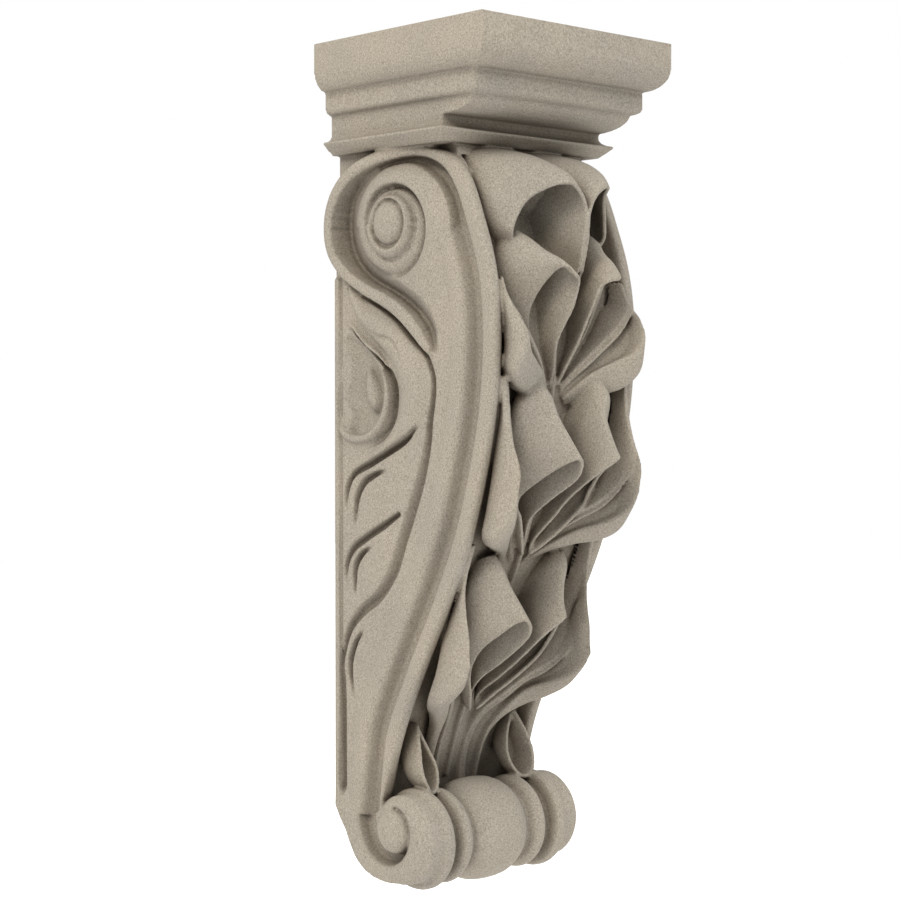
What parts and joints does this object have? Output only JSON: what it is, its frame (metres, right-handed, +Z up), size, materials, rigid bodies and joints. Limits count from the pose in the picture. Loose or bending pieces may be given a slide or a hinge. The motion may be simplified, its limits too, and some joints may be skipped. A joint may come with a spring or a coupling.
{
  "type": "carved stone corbel",
  "caption": "S-scroll stone bracket with a moulded cap, side volutes, acanthus leaves down the front and a turned roll at the foot, fixed at its flat back",
  "frame": {"origin": "middle of the flat wall face at the back of the corbel", "axes": "+Z is up, +Y points out of the back into the wall, the carved front looks along -Y and X is the width"},
  "size_m": [0.187, 0.194, 0.6017],
  "materials": {
    "stone": "fine tooled buff-grey sandstone with a speckled grain, matt"
  },
  "bodies": {
    "root": {"corbel": "stone"}
  },
  "joints": []
}
